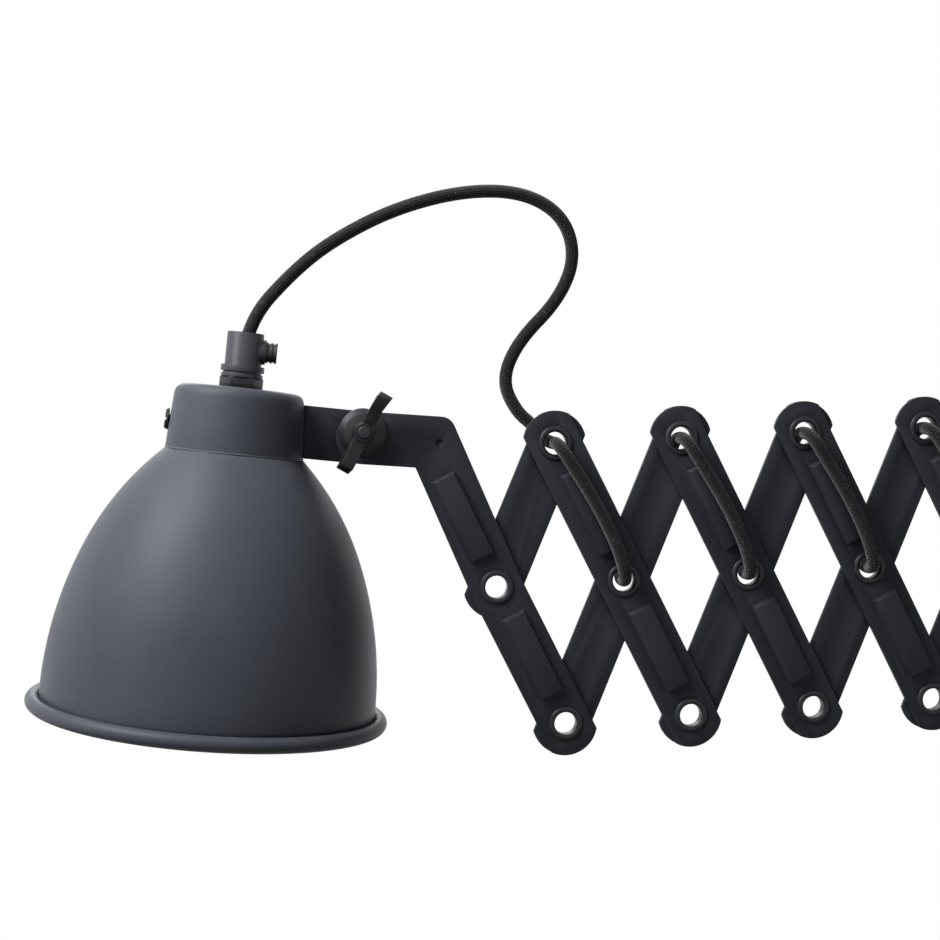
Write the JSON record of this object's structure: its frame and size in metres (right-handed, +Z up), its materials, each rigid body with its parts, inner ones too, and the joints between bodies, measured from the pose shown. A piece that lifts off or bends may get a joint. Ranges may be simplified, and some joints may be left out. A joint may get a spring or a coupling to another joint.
{
  "type": "accordion wall lamp",
  "caption": "Wall lamp with a bell shade on a scissor arm that extends, swings from a wall rod and tilts at a wing nut, with a cloth cord woven through its eyelets.",
  "frame": {"origin": "middle of the four wall screw holes, on the back face of the wall plate", "axes": "+X into the wall, +Z up, the arm reaches out along -X and its outer face looks along -Y"},
  "size_m": [0.5417, 0.1604, 0.32],
  "materials": {
    "shade_paint": "matt graphite powder coat",
    "arm_paint": "matt graphite powder coat",
    "bracket_paint": "matt graphite powder coat",
    "dark_steel": "satin dark finish",
    "grip_metal": "satin dark grey",
    "black_plastic": "matt black",
    "holder_plastic": "matt black",
    "block_plastic": "plain off-white",
    "brass": "bare",
    "cord_cloth": "braided black cloth over round cable"
  },
  "bodies": {
    "root": {"wall_plate": "bracket_paint", "upper_rod_bracket": "bracket_paint", "lower_rod_bracket": "bracket_paint", "bracket_screws": "dark_steel", "hinge_rod": "bracket_paint", "rod_nuts": "bracket_paint", "stop_rings": "bracket_paint", "terminal_cover": "bracket_paint", "cover_screws": "dark_steel", "terminal_block": "block_plastic", "cord_gland": "black_plastic"},
    "upper_collar": {"upper_collar": "bracket_paint", "wall_pivot_rivet": "dark_steel", "cord_tail": "cord_cloth"},
    "rear_link_4": {"rear_link_4": "arm_paint", "cord_rear_4": "cord_cloth"},
    "front_link_4": {"front_link_4": "arm_paint", "hollow_rivets_4": "dark_steel", "cord_front_4": "cord_cloth"},
    "rear_link_3": {"rear_link_3": "arm_paint", "cord_rear_3": "cord_cloth"},
    "front_link_3": {"front_link_3": "arm_paint", "hollow_rivets_3": "dark_steel", "cord_front_3": "cord_cloth"},
    "rear_link_2": {"rear_link_2": "arm_paint", "cord_rear_2": "cord_cloth"},
    "front_link_2": {"front_link_2": "arm_paint", "hollow_rivets_2": "dark_steel", "cord_front_2": "cord_cloth"},
    "rear_link_1": {"rear_link_1": "arm_paint", "cord_rear_1": "cord_cloth"},
    "front_link_1": {"front_link_1": "arm_paint", "hollow_rivets_1": "dark_steel", "cord_front_1": "cord_cloth"},
    "lower_collar": {"lower_collar": "bracket_paint"},
    "half_link": {"half_link": "arm_paint", "cord_loop_arm": "cord_cloth"},
    "bent_arm": {"bent_arm": "arm_paint", "hollow_rivets_0": "dark_steel"},
    "head": {"shade_dome": "shade_paint", "domed_washer": "dark_steel", "neck_cap": "shade_paint", "lamp_ear": "arm_paint", "pivot_bolt": "dark_steel", "neck_screw": "dark_steel", "threaded_nipple": "grip_metal", "lock_nut": "dark_steel", "inner_nut": "dark_steel", "cord_grip": "grip_metal", "grip_screw": "black_plastic", "lampholder_body": "holder_plastic", "lampholder_shell": "brass", "centre_contact": "brass", "cord_loop_lamp": "cord_cloth"},
    "wing_nut": {"wing_nut": "dark_steel"}
  },
  "joints": [
    {"name": "swing", "type": "hinge", "parent": "root", "child": "upper_collar", "pos_m": [-0.034, 0, 0.06496], "axis": [0, 0, 1], "range_deg": [-75, 75], "deforming": ["cord_tail"]},
    {"name": "extend", "type": "hinge", "parent": "upper_collar", "child": "rear_link_4", "pos_m": [-0.061, 0, 0.06496], "axis": [0, 1, 0], "range_deg": [-12.2, 32.3]},
    {"name": "cross_4", "type": "hinge", "parent": "rear_link_4", "child": "front_link_4", "pos_m": [-0.09088, 0, 0], "axis": [0, 1, 0], "range_deg": [-64.8, 24.6]},
    {"name": "slide_pivot", "type": "hinge", "parent": "front_link_4", "child": "lower_collar", "pos_m": [-0.061, 0, -0.06496], "axis": [0, 1, 0], "range_deg": [-12.4, 32.5]},
    {"name": "bottom_3", "type": "hinge", "parent": "rear_link_4", "child": "front_link_3", "pos_m": [-0.12076, 0, -0.06496], "axis": [0, 1, 0], "range_deg": [-64.8, 24.6]},
    {"name": "cross_3", "type": "hinge", "parent": "front_link_3", "child": "rear_link_3", "pos_m": [-0.15063, 0, 0], "axis": [0, 1, 0], "range_deg": [-24.6, 64.8]},
    {"name": "top_3", "type": "hinge", "parent": "front_link_3", "child": "rear_link_2", "pos_m": [-0.18051, 0, 0.06496], "axis": [0, 1, 0], "range_deg": [-24.6, 64.8]},
    {"name": "cross_2", "type": "hinge", "parent": "rear_link_2", "child": "front_link_2", "pos_m": [-0.21039, 0, 0], "axis": [0, 1, 0], "range_deg": [-64.8, 24.6]},
    {"name": "bottom_1", "type": "hinge", "parent": "rear_link_2", "child": "front_link_1", "pos_m": [-0.24027, 0, -0.06496], "axis": [0, 1, 0], "range_deg": [-64.8, 24.6]},
    {"name": "cross_1", "type": "hinge", "parent": "front_link_1", "child": "rear_link_1", "pos_m": [-0.27014, 0, 0], "axis": [0, 1, 0], "range_deg": [-24.6, 64.8]},
    {"name": "top_1", "type": "hinge", "parent": "front_link_1", "child": "half_link", "pos_m": [-0.30002, 0, 0.06496], "axis": [0, 1, 0], "range_deg": [-24.6, 64.8], "deforming": ["cord_loop_arm"]},
    {"name": "cross_0", "type": "hinge", "parent": "half_link", "child": "bent_arm", "pos_m": [-0.3299, 0, 0], "axis": [0, 1, 0], "range_deg": [-64.8, 24.6]},
    {"name": "tilt", "type": "hinge", "parent": "bent_arm", "child": "head", "pos_m": [-0.3884, 0, 0.0733], "axis": [0, 1, 0], "range_deg": [-15, 75], "deforming": ["cord_loop_lamp"]},
    {"name": "wing_nut_turn", "type": "hinge", "parent": "head", "child": "wing_nut", "pos_m": [-0.3884, 0, 0.0733], "axis": [0, -1, 0], "continuous": true}
  ],
  "couplings": [
    {"joint": "cross_4", "follows": "extend", "ratio": -2},
    {"joint": "slide_pivot", "follows": "extend", "ratio": 1},
    {"joint": "bottom_3", "follows": "extend", "ratio": -2},
    {"joint": "cross_3", "follows": "extend", "ratio": 2},
    {"joint": "top_3", "follows": "extend", "ratio": 2},
    {"joint": "cross_2", "follows": "extend", "ratio": -2},
    {"joint": "bottom_1", "follows": "extend", "ratio": -2},
    {"joint": "cross_1", "follows": "extend", "ratio": 2},
    {"joint": "top_1", "follows": "extend", "ratio": 2},
    {"joint": "cross_0", "follows": "extend", "ratio": -2}
  ]
}
